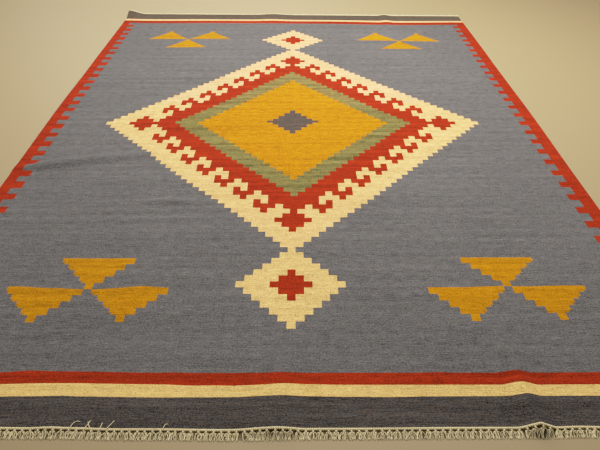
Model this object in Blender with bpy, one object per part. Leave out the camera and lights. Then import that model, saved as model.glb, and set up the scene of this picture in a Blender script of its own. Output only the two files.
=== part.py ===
"""Flatwoven wool kilim with a knotted warp fringe at each end, lying face up on a floor.

The floor is z = 0. The origin is on the rug's underside, below the middle of its medallion.
+X runs across the rug, +Y runs along it to the far end, +Z is up. Sizes are in metres.
"""

import math

import bmesh
import bpy

# The woven pattern goes in steps, and the rug's own places are counted in them:
# i steps across from the middle of the medallion, j steps along.
STEP_X = 0.0234
STEP_Y = 0.0266

# Outline of the cloth. It is a little narrower at the far end than at the near one,
# and its far end was beaten closer than the near one, most on the right.
HALF_WIDTH_STEPS = 42.85
TAPER_STEPS = 0.0095
END_STEPS = 55.9
CLOSER_STEPS = 1.45
SKEW_STEPS = 0.9

CLOTH_THICKNESS = 0.003

# Each fringe: a twined heading cord with a knot for each lock, and the lock splays from the knot.
CLOTH_GAP = 0.0003
CORD_WIDTH = 0.0045
CORD_HEIGHT = 0.0036
LOCK_PITCH = 0.0165
KNOT_WIDTH = 0.0045
KNOT_LENGTH = 0.005
KNOT_FALL = 0.25
LOCK_LENGTH = 0.0205
STEEPEST_LOCK = 0.85
TIP_WIDTH = 0.0125
TIP_HEIGHT = 0.002

# Where the cloth stands off the floor. A row is one low swell: its middle, the way its crest runs
# (degrees from +X), how far it reaches along the crest and to each side, and its height.
NEAR_EDGE = -END_STEPS * STEP_Y
RIPPLES = (
    # name,            x,      y,         turn,  along, side,  height
    ("near crease",    0.545,  NEAR_EDGE, 90.0,  0.380, 0.055, 0.0160),
    ("near swell",     -0.019, NEAR_EDGE, 90.0,  0.300, 0.075, 0.0070),
    ("near left",      -0.524, NEAR_EDGE, 90.0,  0.160, 0.050, 0.0030),
    ("left wrinkle",   -0.870, -0.309,    10.0,  0.420, 0.060, 0.0080),
    ("low wrinkle",    -0.360, -0.575,    0.0,   0.250, 0.045, 0.0030),
    ("side wrinkle",   -0.880, 0.100,     0.0,   0.140, 0.040, 0.0030),
    ("far crease",     0.540,  1.420,     90.0,  0.250, 0.050, 0.0055),
    ("far swell",      -0.010, 1.440,     90.0,  0.200, 0.050, 0.0030),
    ("far left curl",  -0.990, 1.471,     0.0,   0.160, 0.100, 0.0220),
)

# The cloth's mesh starts as wide cells, which are halved wherever they would flatten a swell.
WIDE_CELL = 0.125
HALVINGS = 3
FLATTENED = 0.0004


def half_width(j):
    """Half the cloth's width at row j, in steps."""
    return HALF_WIDTH_STEPS - TAPER_STEPS * j


def row_y(i, j):
    """How far along the rug step (i, j) lies. The far half is beaten closer and a little skew."""
    if j <= 0.0:
        return STEP_Y * j
    far_share = j / END_STEPS
    closer = CLOSER_STEPS * far_share ** 2
    skew = SKEW_STEPS * far_share * i / HALF_WIDTH_STEPS
    return STEP_Y * (j - closer - skew)


def swell(share):
    """A smooth hump: 1 in the middle, 0 from its rim outwards."""
    if abs(share) >= 1.0:
        return 0.0
    return math.cos(0.5 * math.pi * share) ** 2


def lift(x, y):
    """How far the underside stands off the floor at (x, y)."""
    height = 0.0
    for _, middle_x, middle_y, turn, along, side, top in RIPPLES:
        cos_turn = math.cos(math.radians(turn))
        sin_turn = math.sin(math.radians(turn))
        forward = (x - middle_x) * cos_turn + (y - middle_y) * sin_turn
        sideways = (y - middle_y) * cos_turn - (x - middle_x) * sin_turn
        height = max(height, top * swell(forward / along) * swell(sideways / side))
    return height


def flattening(face):
    """The most that one flat mesh face would cut off the swells under it."""
    corners = [vert.co for vert in face.verts]
    low_x = min(corner.x for corner in corners)
    low_y = min(corner.y for corner in corners)
    span_x = max(corner.x for corner in corners) - low_x
    span_y = max(corner.y for corner in corners) - low_y
    samples = 6
    worst = 0.0
    for column in range(samples):
        for row in range(samples):
            u = column / (samples - 1)
            v = row / (samples - 1)
            flat = (
                (1 - u) * (1 - v) * lift(low_x, low_y)
                + u * (1 - v) * lift(low_x + span_x, low_y)
                + (1 - u) * v * lift(low_x, low_y + span_y)
                + u * v * lift(low_x + span_x, low_y + span_y)
            )
            true = lift(low_x + u * span_x, low_y + v * span_y)
            worst = max(worst, abs(true - flat))
    return worst


def new_object(name, mesh, colour, roughness, collection):
    """Put a mesh in the collection as one named object with one material."""
    material = bpy.data.materials.new(name + "_yarn")
    material.use_nodes = True
    shader = material.node_tree.nodes["Principled BSDF"]
    shader.inputs["Base Color"].default_value = (*colour, 1.0)
    shader.inputs["Roughness"].default_value = roughness
    shader.inputs["Metallic"].default_value = 0.0
    mesh.materials.append(material)
    piece = bpy.data.objects.new(name, mesh)
    collection.objects.link(piece)
    return piece


def lattice(bm, across, along):
    """A flat grid of cells, as a table of its corners by column and row."""
    grid = bmesh.ops.create_grid(bm, x_segments=across, y_segments=along, size=0.5)
    table = {}
    for vert in grid["verts"]:
        column = round((vert.co.x + 0.5) * across)
        row = round((vert.co.y + 0.5) * along)
        table[column, row] = vert
    return table


def thicken(bm, top_lift):
    """Close a sheet into a body: its own faces stay below and a copy of them goes on top."""
    bottom = list(bm.faces)
    bmesh.ops.reverse_faces(bm, faces=bottom)
    grown = bmesh.ops.extrude_face_region(bm, geom=bottom, use_keep_orig=True)
    for item in grown["geom"]:
        if isinstance(item, bmesh.types.BMVert):
            item.co.z += top_lift
    bmesh.ops.recalc_face_normals(bm, faces=list(bm.faces))


def make_cloth(collection):
    """The woven sheet, with its outline, its skew far end and its ripples."""
    across = math.ceil(2.0 * STEP_X * HALF_WIDTH_STEPS / WIDE_CELL)
    along = math.ceil(2.0 * STEP_Y * END_STEPS / WIDE_CELL)
    bm = bmesh.new()
    table = lattice(bm, across, along)
    for (column, row), vert in table.items():
        j = END_STEPS * (2.0 * row / along - 1.0)
        i = half_width(j) * (2.0 * column / across - 1.0)
        vert.co = (STEP_X * i, row_y(i, j), 0.0)
    for _ in range(HALVINGS):
        coarse = [face for face in bm.faces if flattening(face) > FLATTENED]
        edges = {edge for face in coarse for edge in face.edges}
        bmesh.ops.subdivide_edges(bm, edges=list(edges), cuts=1, use_grid_fill=True)
    for vert in bm.verts:
        vert.co.z = lift(vert.co.x, vert.co.y)
    thicken(bm, CLOTH_THICKNESS)
    mesh = bpy.data.meshes.new("rug_cloth")
    bm.to_mesh(mesh)
    bm.free()
    return new_object("rug_cloth", mesh, (0.24, 0.24, 0.27), 0.9, collection)


def is_knot_root(face, end, knots):
    """Whether a face of the cord is on its outer side, where one of the knots sits."""
    if face.normal.y * end < 0.9:
        return False
    middle = face.calc_center_median()
    return min(abs(middle.x - knot) for knot in knots) < 0.1 * KNOT_WIDTH


def reach_out(bm, faces, end, length, width, height, fall):
    """Grow each face outwards to a new size. It falls by that share of its height off the floor."""
    grown = bmesh.ops.extrude_discrete_faces(bm, faces=faces)
    for face in grown["faces"]:
        middle = face.calc_center_median()
        low_z = min(vert.co.z for vert in face.verts)
        drop = min(fall * low_z, STEEPEST_LOCK * length)
        reach = math.sqrt(length ** 2 - drop ** 2)
        for vert in face.verts:
            side = 1.0 if vert.co.x > middle.x else -1.0
            upper = vert.co.z > middle.z
            vert.co.x = middle.x + 0.5 * side * width
            vert.co.y += end * reach
            vert.co.z = low_z - drop + (height if upper else 0.0)
    return grown["faces"]


def make_fringe(name, end, collection):
    """Heading cord with its knots and locks. end is -1 for the near fringe and 1 for the far one."""
    end_j = end * END_STEPS
    half = half_width(end_j) * STEP_X
    locks = int(2.0 * half / LOCK_PITCH)
    margin = half - 0.5 * locks * LOCK_PITCH
    knots = [-half + margin + (k + 0.5) * LOCK_PITCH for k in range(locks)]
    places = [-half]
    for middle in knots:
        places += [middle - 0.5 * KNOT_WIDTH, middle + 0.5 * KNOT_WIDTH]
    places.append(half)

    bm = bmesh.new()
    table = lattice(bm, len(places) - 1, 1)
    for (column, row), vert in table.items():
        x = places[column]
        edge_y = row_y(x / STEP_X, end_j) + end * CLOTH_GAP
        outer = row if end > 0 else 1 - row
        vert.co = (x, edge_y + end * outer * CORD_WIDTH, lift(x, edge_y))
    thicken(bm, CORD_HEIGHT)

    # The knots grow out of the cord's outer side, and a lock spreads down to the floor from each.
    roots = [face for face in bm.faces if is_knot_root(face, end, knots)]
    knot_ends = reach_out(bm, roots, end, KNOT_LENGTH, KNOT_WIDTH, CORD_HEIGHT, KNOT_FALL)
    reach_out(bm, knot_ends, end, LOCK_LENGTH, TIP_WIDTH, TIP_HEIGHT, 1.0)
    bmesh.ops.recalc_face_normals(bm, faces=list(bm.faces))
    mesh = bpy.data.meshes.new(name)
    bm.to_mesh(mesh)
    bm.free()
    return new_object(name, mesh, (0.60, 0.52, 0.33), 0.85, collection)


def clear_scene():
    """Start from an empty scene."""
    for old in list(bpy.data.objects):
        bpy.data.objects.remove(old, do_unlink=True)


clear_scene()
rug = bpy.data.collections.new("kilim_rug")
bpy.context.scene.collection.children.link(rug)
make_cloth(rug)
make_fringe("near_fringe", -1, rug)
make_fringe("far_fringe", 1, rug)
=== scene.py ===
import math
import random

import bmesh
import bpy
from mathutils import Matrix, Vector, noise


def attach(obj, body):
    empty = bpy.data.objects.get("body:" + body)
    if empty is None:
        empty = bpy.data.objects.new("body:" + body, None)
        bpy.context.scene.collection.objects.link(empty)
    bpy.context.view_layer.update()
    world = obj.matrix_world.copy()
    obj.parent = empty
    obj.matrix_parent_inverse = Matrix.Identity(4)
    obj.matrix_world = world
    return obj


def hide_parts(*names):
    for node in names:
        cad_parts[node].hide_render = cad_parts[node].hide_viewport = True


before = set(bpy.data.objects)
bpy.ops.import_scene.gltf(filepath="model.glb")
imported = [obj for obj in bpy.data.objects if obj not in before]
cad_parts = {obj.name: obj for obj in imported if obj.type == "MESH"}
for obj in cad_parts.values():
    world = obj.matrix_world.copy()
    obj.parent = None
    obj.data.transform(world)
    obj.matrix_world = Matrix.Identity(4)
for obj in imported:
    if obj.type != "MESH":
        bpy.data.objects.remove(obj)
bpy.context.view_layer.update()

# ---------------------------------------------------------------------------------------------
# The cloth. A kilim: wool weft packed over cotton warp in plain weave, so the pattern is the
# cloth itself and shows on both faces. It is charted in steps of six warps by twelve picks,
# counted from the middle of the medallion: i steps across, j steps along.
# ---------------------------------------------------------------------------------------------
STEP_X = 0.0234
STEP_Y = 0.0266
HALF_WIDTH_STEPS = 42.85
TAPER_STEPS = 0.0095
FAR_DRAW = 0.00011
MIDDLE_FULLNESS = 0.15
FULLEST_AT = 4.0
FULLNESS_REACH = 22.0
END_STEPS = 55.9
CLOSER_STEPS = 1.45
SKEW_STEPS = 0.9
CLOTH_THICKNESS = 0.003
NEAR_EDGE = -END_STEPS * STEP_Y

# Where the cloth stands off the floor. A row is one low swell: its middle, the way its crest runs
# (degrees from +X), how far the crest reaches back and on from the middle, how far it slopes
# down on its right and on its left as the crest runs, and its height.
RIPPLES = (
    # name,            x,      y,         turn,  back,  on,    right, left,  height
    ("near crease",    0.540,  NEAR_EDGE, 92.5,  0.380, 0.380, 0.044, 0.050, 0.0142),
    ("crease crest",   0.540,  NEAR_EDGE, 92.5,  0.330, 0.330, 0.027, 0.028, 0.0168),
    ("near swell",     -0.030, NEAR_EDGE, 88.0,  0.300, 0.300, 0.070, 0.110, 0.0075),
    ("near left",      -0.524, NEAR_EDGE, 90.0,  0.160, 0.160, 0.050, 0.050, 0.0030),
    ("left wrinkle",   -0.860, -0.341,    13.3,  0.205, 0.500, 0.038, 0.057, 0.0168),
    ("wrinkle tip",    -0.570, -0.272,    13.3,  0.160, 0.190, 0.029, 0.039, 0.0095),
    ("low wrinkle",    -0.410, -0.588,    0.5,   0.150, 0.190, 0.029, 0.032, 0.0105),
    ("side wrinkle",   -0.880, 0.100,     0.0,   0.140, 0.140, 0.040, 0.040, 0.0030),
    ("far crease",     0.540,  1.420,     90.0,  0.250, 0.250, 0.050, 0.050, 0.0055),
    ("far swell",      -0.120, 1.440,     90.0,  0.200, 0.200, 0.120, 0.120, 0.0050),
    ("far left curl",  -0.990, 1.471,     0.0,   0.160, 0.110, 0.080, 0.100, 0.0210),
)


def row_y(i, j):
    """How far along the rug step (i, j) lies. The far half is beaten closer and a little skew."""
    if j <= 0.0:
        return STEP_Y * j
    far_share = j / END_STEPS
    closer = CLOSER_STEPS * far_share ** 2
    skew = SKEW_STEPS * far_share * i / HALF_WIDTH_STEPS
    return STEP_Y * (j - closer - skew)


def swell(share):
    """A smooth hump: 1 in the middle, 0 from its rim outwards."""
    if abs(share) >= 1.0:
        return 0.0
    return math.cos(0.5 * math.pi * share) ** 2


def half_width(j):
    """Half the cloth's width at row j, in steps: full in the middle, drawn in at the far end."""
    full = MIDDLE_FULLNESS * swell((j - FULLEST_AT) / FULLNESS_REACH)
    return HALF_WIDTH_STEPS - TAPER_STEPS * j - FAR_DRAW * max(j, 0.0) ** 2 + full


# Where the weaver's hand drew the pattern off its even steps, noted place by place: the middle of
# the place, how far it reaches across and along, and the shift across and along, all in steps.
HAND_PULLS = (
    # name,                      i,     j, reach i, j,     shift i, j
    ("far middle",              -8,    33,    36,  20,   0.00,   0.68),
    ("far half, middle",         0,    17,    13,   9,   0.00,   0.32),
    ("near half, right",         9,   -18,    14,  14,   0.32,  -0.20),
    ("near half, left",        -14,   -14,    13,  12,  -0.28,  -0.15),
    ("near middle",              1,   -21,     7,  11,   0.26,  -0.30),
    ("far half, left",          -9,    20,    16,  20,  -0.32,   0.00),
    ("far half, right",          7,    16,    10,  14,   0.20,   0.00),
    ("left arm, far",          -19,     6,     9,   8,  -0.18,   0.00),
    ("left arm, near",         -11,    -8,     6,   6,   0.10,   0.00),
    ("left tip",               -20,     0,     6,   4,   0.00,   0.24),
    ("right arm, near",         14,    -9,     9,   7,   0.12,  -0.08),
    ("far diamond, left",       -7,    38,     9,   9,  -0.52,   0.00),
    ("far diamond, right",       6,    38,     7,   9,   0.18,   0.00),
    ("far left trio",          -20,    38,     8,   8,  -0.53,   0.05),
    ("far left point",         -31,    40,     7,   7,   0.25,   0.15),
    ("far right point",         31,    40,     8,   8,  -0.40,  -0.30),
    ("near right point",        33,   -40,     7,   7,  -0.50,   0.30),
    ("near diamond",            -5,   -38,     5,   6,  -0.22,   0.10),
    ("near left inner",        -24,   -36,     5,   4,   0.00,  -0.16),
    ("near left middle",       -19,   -41,     5,   4,  -0.15,   0.00),
    ("near left swell",        -10, -51.4,     3, 1.2,   0.00,  -0.10),
    ("near crest",             1.5,   -52,   3.5,   2,   0.00,   0.08),
    ("near crest, left",      -2.8, -50.8,   2.2, 1.6,   0.00,  -0.08),
    ("near crease, front",    22.8,   -53,   2.2, 1.5,   0.00,  -0.13),
    ("near cord, right",        27,   -56,   3.5,   3,   0.00,   0.09),
    ("near cord, left",        -20,   -56,   4.5,   3,   0.00,   0.09),
    ("near left top, 1",       -33, -38.5,     5,   2,   0.00,   0.30),
    ("near left top, 2",       -24, -38.5,     4,   2,   0.00,  -0.16),
    ("near left top, 3",     -17.5, -38.5,   3.5,   2,   0.00,   0.30),
    ("near right top",          25, -38.5,     5,   2,   0.00,   0.18),
    ("near right cream",       9.4, -52.7,     4, 1.2,   0.00,  -0.06),
    ("near left red, end",   -26.5,   -50,     3, 0.9,   0.00,   0.12),
    ("near left red, dip",   -11.8,   -50,     2, 0.9,   0.00,   0.07),
    ("near right red, dip",   14.8,   -50,     2, 0.9,   0.00,   0.08),
    ("near cord, middle",        6,   -56,    10,   3,   0.00, -0.045),
    ("right arm, beside 1",     17,   5.5,     7,   5,   0.00,  -0.28),
    ("right arm, beside 2",     18,    -5,     7,   5,   0.00,   0.19),
    ("left half, far",         -17,    10,     5,   5,   0.00,  -0.18),
    ("left half, near",        -17,   -10,     5,   5,   0.00,  -0.18),
    ("near left band",         -24,   -51,    12,   6,   0.00,   0.18),
    ("near left red",          -22, -50.6,    24, 1.6,   0.00,   0.15),
    ("near middle red",         -6, -51.3,     5, 1.2,   0.00,  -0.12),
    ("near right red",          26, -50.8,    30, 1.8,   0.00,  -0.10),
    ("near end",                 4,   -57,    80,   4,   0.00,   0.14),
    ("near end, left",         -30,   -56,    14,   4,   0.00,   0.22),
    ("near end, middle",        -5,   -56,     9,   3,   0.00,  -0.12),
    ("far left band",          -34,    50,    14,   8,   0.00,  -0.35),
    ("far right band",          26,    50,    18,   8,   0.00,  -0.50),
)


def lay(i, j):
    """Where step (i, j) lies on the floor, by the even steps and the weaver's hand."""
    across, along = i, j
    for _, middle_i, middle_j, reach_i, reach_j, shift_i, shift_j in HAND_PULLS:
        share = swell((i - middle_i) / reach_i) * swell((j - middle_j) / reach_j)
        across += shift_i * share
        along += shift_j * share
    return STEP_X * across, row_y(across, along)


def lift(x, y):
    """How far the underside stands off the floor at (x, y)."""
    height = 0.0
    for _, middle_x, middle_y, turn, back, on, right, left, top in RIPPLES:
        cos_turn = math.cos(math.radians(turn))
        sin_turn = math.sin(math.radians(turn))
        forward = (x - middle_x) * cos_turn + (y - middle_y) * sin_turn
        sideways = (y - middle_y) * cos_turn - (x - middle_x) * sin_turn
        along = on if forward > 0.0 else back
        side = left if sideways > 0.0 else right
        height = max(height, top * swell(forward / along) * swell(sideways / side))
    return height


# The chart. Plain bands close both ends, and a toothed border runs down both sides.
# The near bands and the far ones were not woven to quite the same count.
NEAR_FIELD_END = 50.0
NEAR_RED_END = 51.35
NEAR_CREAM_END = 52.66
FAR_FIELD_END = 49.6
FAR_RED_END = 51.3
FAR_CREAM_END = 52.35

# The border follows the selvedge. Its places across are those in the row of the middle: the
# line of the teeth's tips, and where the solid part starts on each side.
TIP_LINE = 39.6
LEFT_SOLID = 41.12
RIGHT_SOLID = 40.9
TOOTH_ROWS = 1.45
LEFT_TOOTH_PITCH = 2.85
LEFT_TOOTH_AT = -20.9
RIGHT_TOOTH_PITCH = 3.0
RIGHT_TOOTH_AT = -18.2

# The medallion is a stepped diamond of rings, each as far out as the count of steps says. From
# one row on, the far part was woven from another lot of cream and green. The red ring throws out
# hooks, each a stalk with a head beside it, and has a cross at each corner. A small diamond with
# a cross of its own stands before each end, and a grey eye in the middle.
YELLOW_OUT = 16
GREEN_OUT = 20
FAR_LOT_FROM = 7
RED_OUT = 24
CREAM_OUT = 32
HOOK_PITCH = 3
STALK_OUT = 26
FIRST_STALK = 3
LAST_STALK = 21
HEAD_OUT = 28
FIRST_HEAD = 4
LAST_HEAD = 23
CROSS_AT = 26
CROSS_OUT = 2
SMALL_DIAMOND_AT = 38
SMALL_DIAMOND_OUT = 6
SMALL_CROSS_OUT = 2
EYE_AT = 0.5
EYE_OUT = 3.5
EYE_TIP = 4
EYE_TIP_HALF = 0.34

# The yellow triangles in the corners, five rows each: middle column, widest row, and which way
# along the rug the point goes.
TRIANGLE_ROWS = 5
TRIANGLE_HALF = 4.5
NEAR_NARROWING = 0.3
FAR_NARROWING = 0.7
TRIANGLES = (
    # name,               column,        widest row, way
    ("near left inner",   -24.0,         -34, -1),
    ("near left outer",   -29.0,         -39, -1),
    ("near left middle",  -19.0,         -39, -1),
    ("near right inner",  25.0 + 2 / 3,  -34, -1),
    ("near right outer",  30.0 + 2 / 3,  -39, -1),
    ("near right middle", 20.0 + 2 / 3,  -39, -1),
    ("far left inner",    -24.0,         34,  1),
    ("far left outer",    -29.0,         39,  1),
    ("far left middle",   -19.0,         39,  1),
    ("far right inner",   24.0 + 1 / 3,  34,  1),
    ("far right outer",   29.0 + 1 / 3,  39,  1),
    ("far right middle",  19.0 + 1 / 3,  39,  1),
)


def in_border(i, j):
    """Whether a place belongs to the solid border or to one of its teeth."""
    if i > 0.0:
        solid, pitch, tooth_at = RIGHT_SOLID, RIGHT_TOOTH_PITCH, RIGHT_TOOTH_AT
    else:
        solid, pitch, tooth_at = LEFT_SOLID, LEFT_TOOTH_PITCH, LEFT_TOOTH_AT
    off_tooth = (j - tooth_at) / pitch
    off_tooth = pitch * abs(off_tooth - round(off_tooth))
    return abs(i) > solid or (abs(i) > TIP_LINE and off_tooth < 0.5 * TOOTH_ROWS)


def in_hook(column, row):
    """Whether a step belongs to the running hooks that the red ring throws into the cream."""
    out = abs(column) + abs(row)
    side = abs(column)
    if side % HOOK_PITCH == 0:
        return RED_OUT < out <= STALK_OUT and FIRST_STALK <= side <= LAST_STALK
    return STALK_OUT < out <= HEAD_OUT and FIRST_HEAD <= side <= LAST_HEAD


def in_cross(column, row):
    """Whether a step belongs to the cross at one of the red ring's four corners."""
    beside = abs(abs(column) - CROSS_AT) + abs(row)
    above = abs(column) + abs(abs(row) - CROSS_AT)
    return min(beside, above) <= CROSS_OUT


def in_eye(column, j):
    """Whether a place belongs to the small grey diamond in the middle."""
    tip = abs(column) == EYE_TIP and abs(j - EYE_AT) < EYE_TIP_HALF
    return tip or abs(column) + abs(round(j) - EYE_AT) <= EYE_OUT


def medallion_yarn(column, row, j):
    """The yarn of a place in the medallion, or None outside it."""
    if in_eye(column, j):
        return "mouse grey wool"
    if in_hook(column, row) or in_cross(column, row):
        return "red wool"
    out = abs(column) + abs(row)
    far_lot = row > FAR_LOT_FROM
    if out <= YELLOW_OUT:
        return "yellow wool"
    if out <= GREEN_OUT:
        return "far green wool" if far_lot else "green wool"
    if out <= RED_OUT:
        return "red wool"
    if out <= CREAM_OUT:
        return "far cream wool" if far_lot else "cream wool"
    small_out = abs(column) + abs(abs(row) - SMALL_DIAMOND_AT)
    if small_out <= SMALL_CROSS_OUT:
        return "red wool"
    if small_out <= SMALL_DIAMOND_OUT:
        return "far cream wool" if far_lot else "small diamond cream wool"
    return None


def in_triangle(i, j):
    """Whether a place belongs to one of the yellow triangles. Its rows narrow towards the tip."""
    for _, column, widest, way in TRIANGLES:
        rows_on = (round(j) - widest) * way
        half = TRIANGLE_HALF - rows_on
        if rows_on < TRIANGLE_ROWS - 1:
            if way > 0:
                half -= FAR_NARROWING * (j - round(j) + 0.5)
            elif (i - column) * column > 0.0:
                half -= NEAR_NARROWING * (round(j) - j + 0.5)
        if 0 <= rows_on < TRIANGLE_ROWS and abs(i - column) < half:
            return True
    return False


def yarn_at(i, j):
    """The yarn that the chart gives the place (i, j)."""
    if j < -NEAR_CREAM_END:
        return "charcoal wool"
    if j > FAR_CREAM_END:
        return "far charcoal wool"
    if j < -NEAR_RED_END:
        return "near cream wool"
    if j > FAR_RED_END:
        return "far cream wool"
    if j < -NEAR_FIELD_END or j > FAR_FIELD_END or in_border(i, j):
        return "red wool"
    found = medallion_yarn(round(i), round(j), j)
    if found is None:
        found = "corner yellow wool" if in_triangle(i, j) else "blue-grey wool"
    return found


# The yarns. Each was dyed in small lots, so its colour drifts from pick to pick, and hand-spun
# wool takes the dye unevenly along its length. Flecks, fuzz and grain are the fibres within one
# pick, streaks and lots the change from pick to pick, mottle and clouds the wear over many.
FLECK_LENGTH = 0.036
FLECK_HEIGHT = 0.0021
FUZZ_LENGTH = 0.0034
FUZZ_HEIGHT = 0.0019
FUZZ_SHARE = 1.0
GRAIN_LENGTH = 0.007
GRAIN_HEIGHT = 0.0036
GRAIN_SHARE = 0.5
STREAK_LENGTH = 0.14
STREAK_HEIGHT = 0.0044
STREAK_SHARE = 0.7
MOTTLE_LENGTH = 0.024
MOTTLE_HEIGHT = 0.018
MOTTLE_SHARE = 0.30
LOT_LENGTH = 0.75
LOT_HEIGHT = 0.024
CLOUD_LENGTH = 0.35
CLOUD_SHARE = 0.22
TINT_LENGTH = 0.05
TINT_HEIGHT = 0.008
TINT_CONTRAST = 3.0
DRIFT_ROUGHNESS = 0.6
RIB_PITCH = STEP_X / 6
PICK_PITCH = STEP_Y / 12
BEAD_SHARE = 0.3
WEAVE_DEPTH = 0.0006
WEAVE_STRENGTH = 0.5
WOOL_ROUGHNESS = 0.88
FUZZ_ROUGHNESS = 0.2


def add_node(tree, kind, inputs, **settings):
    """Add one shader node with its settings. Each input is a value or another node's output."""
    node = tree.nodes.new(kind)
    for setting, value in settings.items():
        setattr(node, setting, value)
    for place, value in inputs.items():
        if isinstance(value, bpy.types.NodeSocket):
            tree.links.new(value, node.inputs[place])
        else:
            node.inputs[place].default_value = value
    return node


def arithmetic(tree, operation, first, second=0.0):
    """One step of arithmetic between two numbers in a material."""
    return add_node(tree, "ShaderNodeMath", {0: first, 1: second}, operation=operation).outputs[0]


def drift(tree, place, long, wide, detail):
    """A soft random value around 0 that changes over the given length across and height along."""
    pace = (1.0 / long, 1.0 / wide, 1.0)
    scaled = add_node(tree, "ShaderNodeVectorMath", {0: place, 1: pace}, operation="MULTIPLY")
    soft = add_node(
        tree,
        "ShaderNodeTexNoise",
        {"Vector": scaled.outputs[0], "Scale": 1.0, "Detail": detail, "Roughness": DRIFT_ROUGHNESS},
    )
    return arithmetic(tree, "SUBTRACT", soft.outputs[0], 0.5)


def mix_of(tree, parts):
    """The sum of several soft values, each at its own share."""
    (first, share), *others = parts
    found = arithmetic(tree, "MULTIPLY", first, share)
    for part, share in others:
        found = arithmetic(tree, "ADD", found, arithmetic(tree, "MULTIPLY", part, share))
    return found


def weave_relief(tree, place):
    """The height of the weave: ribs over the warps, beaded by the picks, every other rib shifted."""
    axes = add_node(tree, "ShaderNodeSeparateXYZ", {0: place})
    ribs = arithmetic(tree, "MULTIPLY", axes.outputs["X"], 1.0 / RIB_PITCH)
    rib_wave = arithmetic(tree, "SINE", arithmetic(tree, "MULTIPLY", ribs, math.pi))
    rib_height = arithmetic(tree, "ABSOLUTE", rib_wave)
    shifted = arithmetic(tree, "MULTIPLY", arithmetic(tree, "FLOOR", ribs), math.pi)
    picks = arithmetic(tree, "MULTIPLY", axes.outputs["Y"], 2.0 * math.pi / PICK_PITCH)
    bead = arithmetic(tree, "SINE", arithmetic(tree, "ADD", picks, shifted))
    bead_height = arithmetic(tree, "MULTIPLY_ADD", bead, BEAD_SHARE)
    return arithmetic(tree, "ADD", rib_height, bead_height)


def new_wool(name, colour, fleck, lot, warmth):
    """One dyed wool.

    fleck and lot say how far its tone drifts within a pick and between lots, and warmth how far
    its red and its blue drift apart.
    """
    material = bpy.data.materials.new(name)
    material.use_nodes = True
    material.diffuse_color = (*colour, 1.0)
    tree = material.node_tree
    shader = tree.nodes["Principled BSDF"]
    place = add_node(tree, "ShaderNodeTexCoord", {}).outputs["Object"]

    flecks = drift(tree, place, FLECK_LENGTH, FLECK_HEIGHT, 2.0)
    fuzz = drift(tree, place, FUZZ_LENGTH, FUZZ_HEIGHT, 0.0)
    grain = drift(tree, place, GRAIN_LENGTH, GRAIN_HEIGHT, 0.0)
    lots = drift(tree, place, LOT_LENGTH, LOT_HEIGHT, 2.0)
    streaks = drift(tree, place, STREAK_LENGTH, STREAK_HEIGHT, 2.0)
    mottle = drift(tree, place, MOTTLE_LENGTH, MOTTLE_HEIGHT, 0.0)
    clouds = drift(tree, place, CLOUD_LENGTH, CLOUD_LENGTH, 2.0)
    changes = (
        (flecks, fleck),
        (fuzz, FUZZ_SHARE * fleck),
        (grain, GRAIN_SHARE * fleck),
        (lots, lot),
        (streaks, STREAK_SHARE * lot),
        (mottle, MOTTLE_SHARE),
        (clouds, CLOUD_SHARE),
    )
    tone = arithmetic(tree, "ADD", mix_of(tree, changes), 1.0)

    tint = drift(tree, place, TINT_LENGTH, TINT_HEIGHT, 2.0)
    warm = tuple(part * (1.0 + shift) for part, shift in zip(colour, (warmth, 0.0, -warmth)))
    cool = tuple(part * (1.0 - shift) for part, shift in zip(colour, (warmth, 0.0, -warmth)))
    tint_share = arithmetic(tree, "ADD", arithmetic(tree, "MULTIPLY", tint, TINT_CONTRAST), 0.5)
    dyed = add_node(
        tree,
        "ShaderNodeMix",
        {0: tint_share, 6: (*cool, 1.0), 7: (*warm, 1.0)},
        data_type="RGBA",
    )
    toned = add_node(
        tree, "ShaderNodeVectorMath", {0: dyed.outputs[2], 3: tone}, operation="SCALE"
    )
    tree.links.new(toned.outputs[0], shader.inputs["Base Color"])

    relief = arithmetic(tree, "ADD", weave_relief(tree, place), fuzz)
    bump = add_node(
        tree,
        "ShaderNodeBump",
        {"Height": relief, "Distance": WEAVE_DEPTH, "Strength": WEAVE_STRENGTH},
    )
    tree.links.new(bump.outputs[0], shader.inputs["Normal"])
    rough = arithmetic(tree, "MULTIPLY", fuzz, FUZZ_ROUGHNESS)
    rough = arithmetic(tree, "ADD", rough, WOOL_ROUGHNESS)
    tree.links.new(rough, shader.inputs["Roughness"])
    shader.inputs["Sheen Weight"].default_value = 0.02
    shader.inputs["Sheen Roughness"].default_value = 0.5
    shader.inputs["Specular IOR Level"].default_value = 0.03
    return material


WOOLS = (
    # name,                      colour,                   fleck, lot, warmth
    ("blue-grey wool",           (0.144, 0.133, 0.127),    1.60, 0.60, 0.04),
    ("red wool",                 (0.330, 0.0280, 0.0066),  1.42, 1.10, 0.03),
    ("cream wool",               (0.822, 0.483, 0.190),    1.30, 0.60, 0.03),
    ("small diamond cream wool", (0.802, 0.499, 0.187),    1.40, 0.60, 0.03),
    ("near cream wool",          (0.815, 0.518, 0.180),    1.02, 0.50, 0.03),
    ("far cream wool",           (0.835, 0.475, 0.214),    1.05, 0.60, 0.03),
    ("yellow wool",              (0.518, 0.204, 0.0044),   1.60, 0.80, 0.03),
    ("corner yellow wool",       (0.485, 0.206, 0.0050),   1.20, 0.75, 0.03),
    ("green wool",               (0.198, 0.166, 0.055),    1.80, 1.50, 0.12),
    ("far green wool",           (0.220, 0.169, 0.056),    1.80, 1.50, 0.12),
    ("mouse grey wool",          (0.104, 0.077, 0.061),    1.80, 0.60, 0.03),
    ("charcoal wool",            (0.076, 0.063, 0.056),    2.30, 1.30, 0.08),
    # The far charcoal is lighter and warmer than the near one, as painted light on the far band.
    ("far charcoal wool",        (0.108, 0.080, 0.056),    1.60, 0.70, 0.08),
)
wools = [new_wool(*row) for row in WOOLS]
wool_order = [row[0] for row in WOOLS]

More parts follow.
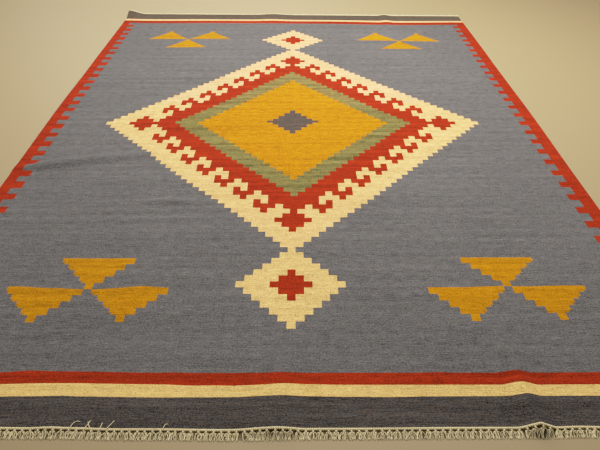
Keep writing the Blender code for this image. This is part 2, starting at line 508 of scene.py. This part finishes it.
# The mesh. Its cells are a third of a step on the face and one step on the underside. Inside the
# plain steps its lines are even, and beyond them they follow the teeth and the end bands. Lines
# closer than a hair are one. The rim's place is anywhere in the solid border.
PARTS_OF_STEP = 3
PLAIN_STEPS = 38.5
RED_ROWS = 4
CREAM_ROWS = 4
CHARCOAL_ROWS = 8
LEAST_ROW = 0.2
HAIR = 0.01
RIM_PLACE = 42.5

# The selvedges and the ends are turned over, so they have a round edge.
SELVEDGE = (
    # in from the edge, share of the thickness
    (0.0060, 1.00),
    (0.0032, 1.04),
    (0.0014, 0.95),
    (0.0004, 0.76),
    (0.0000, 0.50),
)
END_TURN = 0.025
SELVEDGE_WAVER = 0.0012
SELVEDGE_WAVES = 4.0

# How far the hand's beating, the uneven warps and the single picks stray, and how many waves that
# makes per metre across and along. The cord holds the last few steps straight.
BEAT_SWAY = 0.0016
BEAT_WAVES = (2.0, 22.0)
WARP_SWAY = 0.0013
WARP_WAVES = (30.0, 1.8)
PICK_SWAY = 0.0005
PICK_WAVES = (160.0, 160.0)
HELD_STEPS = 3.0


def even_lines(stop):
    """The even mesh lines from the middle out to a place, in steps."""
    count = int(stop * PARTS_OF_STEP) + 1
    lines = [0.5 / PARTS_OF_STEP * (2 * k + 1) for k in range(count)]
    return [line for line in lines if line < stop]


def face_columns(solid):
    """The cloth's mesh lines across half the face, from the middle out, in steps."""
    border = [TIP_LINE, 0.5 * (TIP_LINE + solid), solid, 0.5 * (solid + HALF_WIDTH_STEPS)]
    return even_lines(PLAIN_STEPS + HAIR) + border


def beside_edge(column, j):
    """A mesh line's place at row j. The lines of the border keep their distance from the edge."""
    if abs(column) <= PLAIN_STEPS + HAIR:
        return column
    return math.copysign(half_width(j) - HALF_WIDTH_STEPS + abs(column), column)


def spread(start, stop, count):
    """Evenly spaced places after start, up to stop."""
    return [start + (stop - start) * (k + 1) / count for k in range(count)]


def face_rows(field_end, red_end, cream_end):
    """The cloth's mesh lines along half the face, from the middle out, in steps."""
    lines = even_lines(field_end - LEAST_ROW) + [field_end]
    lines += spread(field_end, red_end, RED_ROWS)
    lines += spread(red_end, cream_end, CREAM_ROWS)
    lines += spread(cream_end, END_STEPS - END_TURN, CHARCOAL_ROWS)
    return lines + [END_STEPS]


def both_ways(before, after):
    """Lines on both sides of the middle, in order."""
    return [-line for line in reversed(before)] + list(after)


def waver(x, y, waves, start):
    """A smooth random value from -1 to 1 with so many waves per metre. start picks another run."""
    return noise.noise(Vector((x * waves[0], y * waves[1], start)))


def hand_woven(j, x, y):
    """Shift a place the little that hand beating and uneven warps do."""
    loose = min(1.0, (END_STEPS - abs(j)) / HELD_STEPS)
    beat = BEAT_SWAY * waver(x, y, BEAT_WAVES, 3.1)
    warp = WARP_SWAY * waver(x, y, WARP_WAVES, 7.7)
    slip_x = PICK_SWAY * waver(x, y, PICK_WAVES, 1.3)
    slip_y = PICK_SWAY * waver(x, y, PICK_WAVES, 9.9)
    return x + warp + slip_x, y + loose * (beat + slip_y)


columns = both_ways(face_columns(LEFT_SOLID), face_columns(RIGHT_SOLID))
near_rows = face_rows(NEAR_FIELD_END, NEAR_RED_END, NEAR_CREAM_END)
rows = both_ways(near_rows, face_rows(FAR_FIELD_END, FAR_RED_END, FAR_CREAM_END))
bm = bmesh.new()


def face_vert(i, j, share=1.0, inwards=None):
    """A corner of the mesh at step (i, j), at a share of the cloth's thickness."""
    x, y = lay(beside_edge(i, j), j)
    if inwards is not None:
        side = 1.0 if i > 0 else -1.0
        x = side * (STEP_X * half_width(j) - inwards)
        x += SELVEDGE_WAVER * noise.noise(Vector((side * 5.0, y * SELVEDGE_WAVES, 2.2)))
        y = lay(x / STEP_X, j)[1]
    x, y = hand_woven(j, x, y)
    return bm.verts.new((x, y, lift(x, y) + share * CLOTH_THICKNESS))


face_table = []
for j in rows:
    left = [face_vert(-1, j, share, inwards) for inwards, share in reversed(SELVEDGE)]
    middle = [face_vert(i, j) for i in columns]
    right = [face_vert(1, j, share, inwards) for inwards, share in SELVEDGE]
    face_table.append(left + middle + right)
edge_count = len(SELVEDGE)
column_places = [-RIM_PLACE] * edge_count + columns + [RIM_PLACE] * edge_count


def weave_face(corners, i, j):
    """One mesh face in the yarn that the chart gives its middle."""
    face = bm.faces.new(corners)
    face.smooth = True
    face.material_index = wool_order.index(yarn_at(i, j))
    return face


for row in range(len(rows) - 1):
    low, high = face_table[row], face_table[row + 1]
    middle_j = 0.5 * (rows[row] + rows[row + 1])
    for column in range(len(low) - 1):
        middle_i = 0.5 * (column_places[column] + column_places[column + 1])
        weave_face((low[column], low[column + 1], high[column + 1], high[column]), middle_i, middle_j)

# The underside: every third line of the face. It stops a little further in at the selvedges, and
# is joined to the face's rim there.
UNDER_IN = 0.0014


def under_lines(lines, kept):
    """Which of the face's lines the underside keeps."""
    found = []
    for place, line in enumerate(lines):
        on_step = abs(line - 0.5 - round(line - 0.5)) < HAIR
        if on_step or abs(line) > kept:
            found.append(place)
    return found


under_columns = under_lines(columns, PLAIN_STEPS)
under_rows = under_lines(rows, FAR_FIELD_END - HAIR)
under_table = []
for place in under_rows:
    j = rows[place]
    line = [face_vert(-1, j, 0.0, UNDER_IN)]
    line += [face_vert(columns[column], j, 0.0) for column in under_columns]
    line += [face_vert(1, j, 0.0, UNDER_IN)]
    under_table.append(line)
under_places = [-RIM_PLACE] + [columns[column] for column in under_columns] + [RIM_PLACE]
for row in range(len(under_rows) - 1):
    low, high = under_table[row], under_table[row + 1]
    middle_j = 0.5 * (rows[under_rows[row]] + rows[under_rows[row + 1]])
    for column in range(len(low) - 1):
        middle_i = 0.5 * (under_places[column] + under_places[column + 1])
        weave_face((low[column], high[column], high[column + 1], low[column + 1]), middle_i, middle_j)

for row in range(len(under_rows) - 1):
    first, last = under_rows[row], under_rows[row + 1]
    middle_j = 0.5 * (rows[first] + rows[last])
    left_rim = [face_table[k][0] for k in range(first, last + 1)]
    right_rim = [face_table[k][-1] for k in range(first, last + 1)]
    left_under = [under_table[row + 1][0], under_table[row][0]]
    right_under = [under_table[row][-1], under_table[row + 1][-1]]
    weave_face(left_under + left_rim, -RIM_PLACE, middle_j)
    weave_face(right_rim[::-1] + right_under, RIM_PLACE, middle_j)
cloth_ends = (
    (under_table[0], face_table[0], 1),
    (under_table[-1], face_table[-1], -1),
)
for under_row, face_row, way in cloth_ends:
    places = [0] + [edge_count + column for column in under_columns] + [len(face_row) - 1]
    for column in range(len(under_row) - 1):
        top = face_row[places[column]:places[column + 1] + 1]
        ring = [under_row[column], under_row[column + 1]] + top[::-1]
        weave_face(ring[::way], 0.0, -way * END_STEPS)

cloth_mesh = bpy.data.meshes.new("woven_cloth")
bm.to_mesh(cloth_mesh)
bm.free()
for wool in wools:
    cloth_mesh.materials.append(wool)
woven_cloth = bpy.data.objects.new("woven_cloth", cloth_mesh)
bpy.context.collection.objects.link(woven_cloth)
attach(woven_cloth, "root")
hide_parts("rug_cloth")

# ---------------------------------------------------------------------------------------------
# The near fringe: the cotton warp ends left after weaving. A pair of yarns is twined across
# them as a heading cord, they are knotted in bunches below it, and the ends are cut to a line.
# ---------------------------------------------------------------------------------------------
CLOTH_GAP = 0.0003
PLY_RADIUS = 0.0020
PLY_SPREAD = 0.0018
PLY_RISE = 0.0009
CORD_TWIST = 0.0095
TWIST_WAVER = 0.6
TWIST_WAVES = 9.0
CORD_POINT_PITCH = 0.0021
CORD_SIDES = 6
CORD_WIDTH = 2.0 * (PLY_RADIUS + PLY_SPREAD)
CORD_OFF_FLOOR = 0.0001
CORD_HEIGHT = 2.0 * (PLY_RADIUS + PLY_RISE + CORD_OFF_FLOOR)

# The knots. Each sits on the cord's outer half, a share of the cord's width out from its middle.
LOCK_PITCH = 0.0165
KNOT_FROM = 0.3
KNOT_WIDTH = 0.0066
KNOT_HEIGHT = 0.0040
KNOT_LENGTH = 0.0050
KNOT_FALL = 0.25
KNOT_SHIFT = 0.0018
KNOT_SIZES = (0.9, 1.1)
KNOT_TURNS = (0.0, 0.7)
KNOT_SIDES = 8
KNOT_PROFILE = (
    # share of its length, share of its height
    (0.00, 0.55),
    (0.22, 0.95),
    (0.50, 1.00),
    (0.78, 0.90),
    (1.00, 0.62),
)
WRAP_RADIUS = 0.0006
WRAP_HEIGHT = 0.84
WRAP_SLANT = 0.00112
WRAP_POINTS = 8
WRAP_SIDES = 5

# The ends of a lock. The lower ones lie flat from under the cord's outer half, as a floor for the
# upper ones, and are dark as painted shade between the knots and the upper ends. The upper ones
# leave the knot as a bunch, cross each other and are cut to one line.
CUT_REACH = 0.0184
LOWER_ENDS = 8
LOWER_FROM = 0.2
LOWER_RADIUS = 0.0009
LOWER_SCATTER = 0.0012
LOWER_SHORTER_BY = (0.002, 0.004)
ENDS_IN_LOCK = 12
END_RADIUS = 0.00065
BUNCH_WIDTH = 0.0105
BUNCH_DEPTH = 0.0008
BUNCH_IN_KNOT = 0.0014
LOCK_LEAN = 0.0024
LOCK_SPREAD = 0.0190
TIP_SCATTER = 0.0036
CUT_SCATTER = 0.0005
TIP_STACK = 0.6
END_BEND = 0.0024
END_CURL = 0.0010
END_PROFILE = (0.9, 1.0, 1.05, 1.0, 0.8, 0.35)
END_SIDES = 4
END_TWIST = 0.3
HIGHLIGHT_EVERY = 4
STEEPEST = 0.75
SHORTEST_FALL = 0.40
LONGEST_FALL = 0.95

# The cotton: its tone drifts a little along each end and a little from lock to lock.
STRAND_LENGTH = 0.006
STRAND_SHARE = 0.35
PATCH_LENGTH = 0.08
PATCH_SHARE = 0.4
COTTON_TWIST = 0.0021
COTTON_DEPTH = 0.0003
COTTON_STRENGTH = 0.5
COTTON_ROUGHNESS = 0.85


def new_cotton(name, colour):
    """Undyed cotton yarn: slightly uneven tone, with the fine slant of its twist as relief."""
    material = bpy.data.materials.new(name)
    material.use_nodes = True
    material.diffuse_color = (*colour, 1.0)
    tree = material.node_tree
    shader = tree.nodes["Principled BSDF"]
    place = add_node(tree, "ShaderNodeTexCoord", {}).outputs["Object"]
    strands = drift(tree, place, STRAND_LENGTH, STRAND_LENGTH, 1.0)
    patches = drift(tree, place, PATCH_LENGTH, PATCH_LENGTH, 2.0)
    changes = ((strands, STRAND_SHARE), (patches, PATCH_SHARE))
    tone = arithmetic(tree, "ADD", mix_of(tree, changes), 1.0)
    toned = add_node(tree, "ShaderNodeVectorMath", {0: colour, 3: tone}, operation="SCALE")
    tree.links.new(toned.outputs[0], shader.inputs["Base Color"])
    axes = add_node(tree, "ShaderNodeSeparateXYZ", {0: place})
    slant = arithmetic(tree, "ADD", axes.outputs["X"], axes.outputs["Y"])
    turns = arithmetic(tree, "MULTIPLY", slant, 2.0 * math.pi / COTTON_TWIST)
    twist = arithmetic(tree, "SINE", turns)
    bump = add_node(
        tree,
        "ShaderNodeBump",
        {"Height": twist, "Distance": COTTON_DEPTH, "Strength": COTTON_STRENGTH},
    )
    tree.links.new(bump.outputs[0], shader.inputs["Normal"])
    rough = arithmetic(tree, "MULTIPLY", strands, FUZZ_ROUGHNESS)
    rough = arithmetic(tree, "ADD", rough, COTTON_ROUGHNESS)
    tree.links.new(rough, shader.inputs["Roughness"])
    shader.inputs["Sheen Weight"].default_value = 0.1
    shader.inputs["Specular IOR Level"].default_value = 0.2
    return material


# Where a yarn runs this close to straight up, as at the side of a wrap, +X is taken as its side.
UPRIGHT = 0.001


def tube(points, radii, sides, turn=0.0, yarn=0):
    """A closed tube through the points, with a radius at each, in one of the fringe's cottons."""
    rings = []
    for place, point in enumerate(points):
        before = points[max(place - 1, 0)]
        after = points[min(place + 1, len(points) - 1)]
        forward = (after - before).normalized()
        across = forward.cross(Vector((0.0, 0.0, 1.0)))
        if across.length < UPRIGHT:
            across = Vector((1.0, 0.0, 0.0))
        across.normalize()
        upward = across.cross(forward)
        ring = []
        for k in range(sides):
            angle = turn + 2.0 * math.pi * k / sides
            reach = across * math.cos(angle) + upward * math.sin(angle)
            ring.append(bm.verts.new(point + reach * radii[place]))
        rings.append(ring)
    for low, high in zip(rings, rings[1:]):
        for k in range(sides):
            following = (k + 1) % sides
            face = bm.faces.new((low[k], low[following], high[following], high[k]))
            face.smooth = True
            face.material_index = yarn
    for cap in (rings[0][::-1], rings[-1]):
        bm.faces.new(cap).material_index = yarn


def cord_line(x, end):
    """The middle of the heading cord at x. end is -1 at the near end and 1 at the far one."""
    edge_y = lay(x / STEP_X, end * END_STEPS)[1] + end * CLOTH_GAP
    return Vector((x, edge_y + end * 0.5 * CORD_WIDTH, lift(x, edge_y) + 0.5 * CORD_HEIGHT))


def twine_cord(half, end):
    """Two yarns twined round each other along the cloth's edge."""
    count = int(2.0 * half / CORD_POINT_PITCH)
    for ply in (0.0, math.pi):
        points = []
        for k in range(count + 1):
            x = half * (2.0 * k / count - 1.0)
            uneven = TWIST_WAVER * noise.noise(Vector((x * TWIST_WAVES, end, 0.5)))
            angle = ply + 2.0 * math.pi * x / CORD_TWIST + uneven
            point = cord_line(x, end)
            point.y += PLY_SPREAD * math.cos(angle)
            point.z += PLY_RISE * math.sin(angle)
            points.append(point)
        tube(points, [PLY_RADIUS] * len(points), CORD_SIDES)


def tie_knot(root, tip, draw):
    """A small wrapped knot from the cord to where its ends part, as a waisted lump and one wrap."""
    size = draw.uniform(*KNOT_SIZES)
    points = [root.lerp(tip, share) for share, _ in KNOT_PROFILE]
    radii = [0.5 * KNOT_HEIGHT * size * high for _, high in KNOT_PROFILE]
    tube(points, radii, KNOT_SIDES, draw.uniform(*KNOT_TURNS))
    slant = draw.choice((-1.0, 1.0)) * WRAP_SLANT
    middle = root.lerp(tip, 0.5)
    wrap = []
    for k in range(WRAP_POINTS + 1):
        angle = 2.0 * math.pi * k / WRAP_POINTS
        wrap.append(middle + Vector((
            0.5 * KNOT_WIDTH * size * math.cos(angle),
            slant * math.cos(angle),
            0.5 * WRAP_HEIGHT * KNOT_HEIGHT * size * math.sin(angle),
        )))
    tube(wrap, [WRAP_RADIUS] * len(wrap), WRAP_SIDES)


def lay_end(start, tip, bend, curl, radius, yarn):
    """One warp end: it leaves the knot, falls to rest on those below and runs to the cut line."""
    reach = abs(tip.y - start.y)
    fall = min(max(start.z / (STEEPEST * reach), SHORTEST_FALL), LONGEST_FALL)
    radii = [radius * wide for wide in END_PROFILE]
    points = []
    for ring, thick in enumerate(radii):
        along = ring / (len(radii) - 1)
        share = min(1.0, along / fall)
        ease = share * share * (3.0 - 2.0 * share)
        point = start.lerp(tip, along)
        point.x = start.x + (tip.x - start.x) * (1.0 - (1.0 - along) ** 3)
        point.x += bend * math.sin(math.pi * along) + curl * math.sin(2.0 * math.pi * along)
        point.z = start.z + (tip.z + thick - start.z) * ease
        points.append(point)
    tube(points, radii, END_SIDES, END_TWIST, yarn)


def make_fringe_mesh(name, end, seed):
    """The heading cord, the knots and the splayed ends of one fringe."""
    draw = random.Random(seed)
    half = half_width(end * END_STEPS) * STEP_X
    locks = int(2.0 * half / LOCK_PITCH)
    margin = half - 0.5 * locks * LOCK_PITCH
    twine_cord(half, end)
    for lock in range(locks):
        x = -half + margin + (lock + 0.5) * LOCK_PITCH
        middle = cord_line(x, end)
        root = middle + Vector((0.0, end * KNOT_FROM * CORD_WIDTH, 0.0))
        shift = draw.uniform(-KNOT_SHIFT, KNOT_SHIFT)
        knot_end = middle + Vector((shift, end * (0.5 * CORD_WIDTH + KNOT_LENGTH), 0.0))
        knot_end.z -= KNOT_FALL * lift(x, root.y)
        tie_knot(root, knot_end, draw)
        cut_y = middle.y + end * (0.5 * CORD_WIDTH + KNOT_LENGTH + CUT_REACH)
        # The lower ends take the dark cotton: painted shade under the upper ends and between the
        # knots.
        for strand in range(LOWER_ENDS):
            place = (strand + 0.5) / LOWER_ENDS - 0.5
            start = middle + Vector((LOCK_PITCH * place, end * LOWER_FROM * CORD_WIDTH, 0.0))
            start.z += LOWER_RADIUS - 0.5 * CORD_HEIGHT
            tip_x = start.x + draw.gauss(0.0, LOWER_SCATTER)
            tip_y = cut_y - end * draw.uniform(*LOWER_SHORTER_BY)
            lay_end(start, Vector((tip_x, tip_y, 0.0)), 0.0, 0.0, LOWER_RADIUS, PAINTED_SHADE)
        lean = draw.gauss(0.0, LOCK_LEAN)
        for strand in range(ENDS_IN_LOCK):
            place = (strand + 0.5) / ENDS_IN_LOCK - 0.5
            depth = draw.uniform(-BUNCH_DEPTH, BUNCH_DEPTH)
            start = knot_end + Vector((place * BUNCH_WIDTH, -end * BUNCH_IN_KNOT, depth))
            tip_x = x + lean + LOCK_SPREAD * place + draw.gauss(0.0, TIP_SCATTER)
            tip_y = cut_y + draw.gauss(0.0, CUT_SCATTER)
            upper = strand % 2
            tip = Vector((tip_x, tip_y, TIP_STACK * END_RADIUS * upper))
            bend = draw.gauss(0.0, END_BEND)
            curl = draw.gauss(0.0, END_CURL)
            # Every fourth end, always an upper one, takes the lighter cotton as painted highlight.
            yarn = PAINTED_HIGHLIGHT if strand % HIGHLIGHT_EVERY == 1 else AS_SPUN
            lay_end(start, tip, bend, curl, END_RADIUS, yarn)
    mesh = bpy.data.meshes.new(name)
    bm.to_mesh(mesh)
    return mesh


# A few ends have been kicked back over the cord and lie on the charcoal band: where each leaves
# the cord, how far its tip lies to the side and back on the cloth, and how far a hooked one bows.
KICKED_ENDS = (
    # name,          x,      side,   back,   bow
    ("long hook",   -0.476,  0.017,  0.014, -0.004),
    ("crossed, 1",  -0.445,  0.008,  0.017,  0.000),
    ("crossed, 2",  -0.431, -0.011,  0.014,  0.000),
    ("short",       -0.411,  0.001,  0.012,  0.000),
    ("slanted",     -0.399,  0.014,  0.018,  0.000),
    ("small hook",  -0.275,  0.009,  0.010, -0.002),
)
KICKED_RADIUS = 0.0009
KICKED_FROM = 0.0020
KICKED_OVER = 0.0006
KICKED_RINGS = 8
KICKED_SIDES = 5
HOOK_ROUND = 0.6


def kick_back(x, side, back, bow):
    """One warp end of the near fringe that lies back over the cord and the cloth."""
    cord = cord_line(x, -1)
    start_y = cord.y - 0.5 * CORD_WIDTH - KICKED_FROM
    tip_y = cord.y + 0.5 * CORD_WIDTH + back
    over_cord = CORD_HEIGHT - CLOTH_THICKNESS + KICKED_OVER
    points = []
    for ring in range(KICKED_RINGS):
        share = ring / (KICKED_RINGS - 1)
        place_x = x + side * share + bow * math.sin(math.pi * share)
        rise = math.sin(HOOK_ROUND * math.pi * share) if bow else share
        place_y = start_y + (tip_y - start_y) * rise
        above = CLOTH_THICKNESS + KICKED_RADIUS + over_cord * (1.0 - share)
        points.append(Vector((place_x, place_y, lift(place_x, place_y) + above)))
    tube(points, [KICKED_RADIUS] * KICKED_RINGS, KICKED_SIDES)


# Most ends are as spun, a few upper ones are lighter as painted highlight, and the lower ones are
# dark as painted shade.
AS_SPUN = 0
PAINTED_SHADE = 1
PAINTED_HIGHLIGHT = 2
cottons = (
    new_cotton("undyed cotton", (0.83, 0.69, 0.40)),
    new_cotton("painted shade cotton", (0.12, 0.083, 0.014)),
    new_cotton("painted highlight cotton", (0.95, 0.83, 0.54)),
)

bm = bmesh.new()
for _, x, side, back, bow in KICKED_ENDS:
    kick_back(x, side, back, bow)
near_fringe_mesh = make_fringe_mesh("near_fringe_ends", -1, seed=11)
bm.free()
for cotton in cottons:
    near_fringe_mesh.materials.append(cotton)
near_fringe_ends = bpy.data.objects.new("near_fringe_ends", near_fringe_mesh)
bpy.context.collection.objects.link(near_fringe_ends)
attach(near_fringe_ends, "root")
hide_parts("near_fringe")

# ---------------------------------------------------------------------------------------------
# The far fringe: the same cotton warps at their other end. They are twined into a cord, knotted
# in bunches and cut in the same way as the near ones.
# ---------------------------------------------------------------------------------------------
bm = bmesh.new()
far_fringe_mesh = make_fringe_mesh("far_fringe_ends", 1, seed=23)
bm.free()
for cotton in cottons:
    far_fringe_mesh.materials.append(cotton)
far_fringe_ends = bpy.data.objects.new("far_fringe_ends", far_fringe_mesh)
bpy.context.collection.objects.link(far_fringe_ends)
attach(far_fringe_ends, "root")
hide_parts("far_fringe")

# ---------------------------------------------------------------------------------------------
# The floor, the light and the viewpoint: a plain pale floor, a soft lamp above the far half of
# the rug and another beyond its far end, and a view from above and before the near end.
# ---------------------------------------------------------------------------------------------
FLOOR_REACH = 12.0
FLOOR_COLOUR = (0.38, 0.285, 0.150, 1.0)
floor_bm = bmesh.new()
bmesh.ops.create_grid(floor_bm, x_segments=1, y_segments=1, size=FLOOR_REACH)
floor_mesh = bpy.data.meshes.new("floor")
floor_bm.to_mesh(floor_mesh)
floor_bm.free()
floor_paint = bpy.data.materials.new("pale floor")
floor_paint.use_nodes = True
floor_shader = floor_paint.node_tree.nodes["Principled BSDF"]
floor_shader.inputs["Base Color"].default_value = FLOOR_COLOUR
floor_shader.inputs["Roughness"].default_value = 0.6
floor_shader.inputs["Specular IOR Level"].default_value = 0.3
floor_mesh.materials.append(floor_paint)
floor = bpy.data.objects.new("floor", floor_mesh)
bpy.context.collection.objects.link(floor)


def soft_lamp(name, place, aim, width, depth, power, colour):
    """A large soft lamp at a place, turned to light the point it is aimed at."""
    lamp = bpy.data.lights.new(name, "AREA")
    lamp.shape = "RECTANGLE"
    lamp.size = width
    lamp.size_y = depth
    lamp.energy = power
    lamp.color = colour
    holder = bpy.data.objects.new(name, lamp)
    bpy.context.collection.objects.link(holder)
    holder.location = place
    holder.rotation_euler = (Vector(aim) - Vector(place)).to_track_quat("-Z", "Y").to_euler()


LAMPS = (
    # name,          place,             aim,               width, depth, power, colour
    ("ceiling lamp", (0.36, 0.70, 2.4), (0.18, 0.56, 0.0), 2.0, 2.0, 110.0, (1.0, 0.99, 0.97)),
    ("far lamp",     (-1.0, 3.2, 1.8),  (0.0, 0.3, 0.0),   3.0, 2.0, 58.0,  (0.97, 0.99, 1.0)),
)
for lamp_row in LAMPS:
    soft_lamp(*lamp_row)

ROOM_COLOUR = (1.0, 0.98, 0.95, 1.0)
ROOM_LIGHT = 0.245
room = bpy.data.worlds.new("room light")
room.use_nodes = True
room_shader = room.node_tree.nodes["Background"]
room_shader.inputs["Color"].default_value = ROOM_COLOUR
room_shader.inputs["Strength"].default_value = ROOM_LIGHT
bpy.context.scene.world = room

LENS = 37.71
SENSOR_WIDTH = 36.0
VIEW_PLACE = (0.0135, -2.3435, 1.1490)
VIEW_TURN = (54.721, -0.114, -0.352)
camera_lens = bpy.data.cameras.new("viewpoint")
camera_lens.lens = LENS
camera_lens.sensor_width = SENSOR_WIDTH
camera = bpy.data.objects.new("viewpoint", camera_lens)
bpy.context.collection.objects.link(camera)
camera.location = VIEW_PLACE
camera.rotation_euler = [math.radians(part) for part in VIEW_TURN]
bpy.context.scene.camera = camera

# The film. It takes tones up to a light grey as they are, and rolls the bright ones off softly.
BRIGHTEST_TONE = 2.0
FILM_TONES = (
    # light that falls in, tone on the film
    (0.40, 0.400),
    (0.55, 0.530),
    (0.70, 0.630),
    (0.85, 0.715),
    (1.08, 0.790),
    (1.30, 0.855),
    (1.55, 0.920),
)
film = bpy.context.scene.view_settings
film.view_transform = "Standard"
film.use_curve_mapping = True
film.curve_mapping.white_level = (BRIGHTEST_TONE, BRIGHTEST_TONE, BRIGHTEST_TONE)
film_curve = film.curve_mapping.curves[3]
for light, tone in FILM_TONES:
    film_curve.points.new(light / BRIGHTEST_TONE, tone)
film_curve.points[0].handle_type = "VECTOR"
film_curve.points[1].handle_type = "VECTOR"
film.curve_mapping.update()
